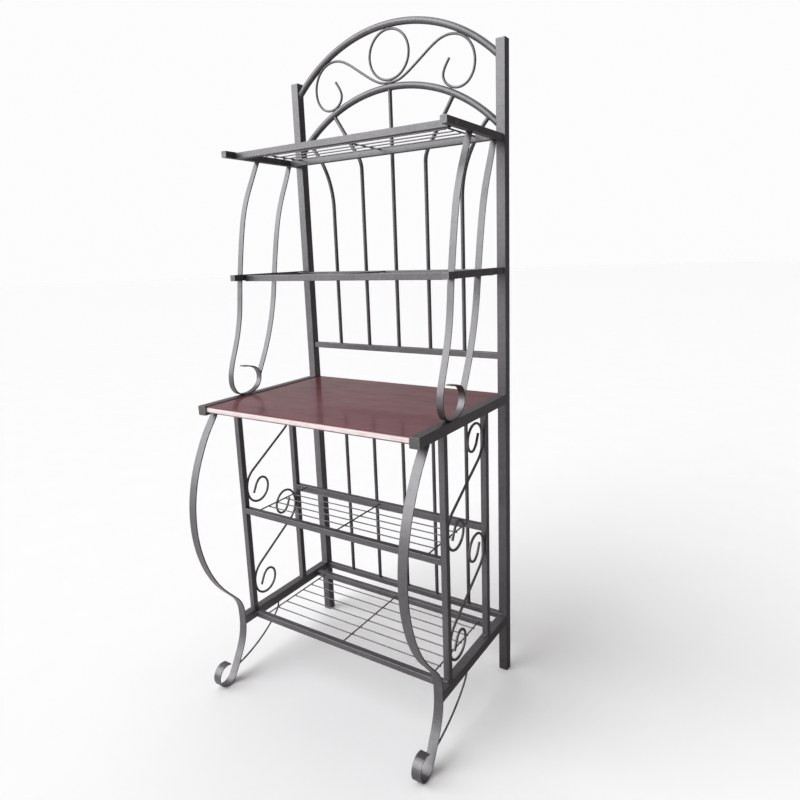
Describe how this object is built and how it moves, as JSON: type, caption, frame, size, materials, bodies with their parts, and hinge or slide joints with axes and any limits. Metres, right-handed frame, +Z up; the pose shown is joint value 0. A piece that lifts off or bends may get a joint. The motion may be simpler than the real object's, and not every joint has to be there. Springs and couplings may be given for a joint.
{
  "type": "bakers rack",
  "caption": "Tall free-standing bakers rack with arched scrollwork back, wire shelves on curved side brackets, wood-look work top and bowed front legs ending in scroll feet",
  "frame": {"origin": "on the floor, under the middle of the bounding box", "axes": "+Z up, +X to the right seen from the front, the front faces -Y"},
  "size_m": [0.6248, 0.4862, 1.6478],
  "materials": {
    "frame_steel": "pewter grey powder coat, satin",
    "board_laminate": "dark cherry wood-look laminate, semi-gloss",
    "cap_plastic": "grey moulded plastic tube caps",
    "screw_steel": "dark zinc-plated pan head screws"
  },
  "bodies": {
    "root": {"arch_ring": "frame_steel", "arch_scroll": "frame_steel", "back_post_left": "frame_steel", "back_post_right": "frame_steel", "board_screws": "screw_steel", "bottom_shelf_front_rail": "frame_steel", "bottom_shelf_rear_rail": "frame_steel", "bottom_shelf_wires": "frame_steel", "front_bracket_left": "frame_steel", "front_bracket_right": "frame_steel", "front_inner_post_left": "frame_steel", "front_inner_post_right": "frame_steel", "front_leg_left": "frame_steel", "front_leg_right": "frame_steel", "leg_braces": "frame_steel", "lower_arch_tube": "frame_steel", "lower_back_bars": "frame_steel", "lower_back_rail": "frame_steel", "lower_shelf_front_rail": "frame_steel", "lower_shelf_rear_rail": "frame_steel", "lower_shelf_wires": "frame_steel", "lower_side_rail_left": "frame_steel", "lower_side_rail_right": "frame_steel", "middle_shelf_front_rail": "frame_steel", "middle_shelf_rear_rail": "frame_steel", "middle_shelf_side_rail_left": "frame_steel", "middle_shelf_side_rail_right": "frame_steel", "middle_shelf_wires": "frame_steel", "post_foot_plugs": "cap_plastic", "post_top_caps": "cap_plastic", "rail_screws": "screw_steel", "rear_bracket_left": "frame_steel", "rear_bracket_right": "frame_steel", "rear_inner_post_left": "frame_steel", "rear_inner_post_right": "frame_steel", "shelf_mount_plates": "frame_steel", "shelf_rail_caps": "cap_plastic", "side_scrolls_left": "frame_steel", "side_scrolls_right": "frame_steel", "table_cross_rail": "frame_steel", "table_rail_caps": "cap_plastic", "table_rear_rail": "frame_steel", "table_side_rail_left": "frame_steel", "table_side_rail_right": "frame_steel", "tabletop_board": "board_laminate", "top_shelf_front_rail": "frame_steel", "top_shelf_rear_rail": "frame_steel", "top_shelf_side_rail_left": "frame_steel", "top_shelf_side_rail_right": "frame_steel", "top_shelf_wires": "frame_steel", "upper_arch_tube": "frame_steel", "upper_back_bar_centre": "frame_steel", "upper_back_bar_inner_left": "frame_steel", "upper_back_bar_inner_right": "frame_steel", "upper_back_bar_outer_left": "frame_steel", "upper_back_bar_outer_right": "frame_steel", "upper_back_rail": "frame_steel"}
  },
  "joints": []
}
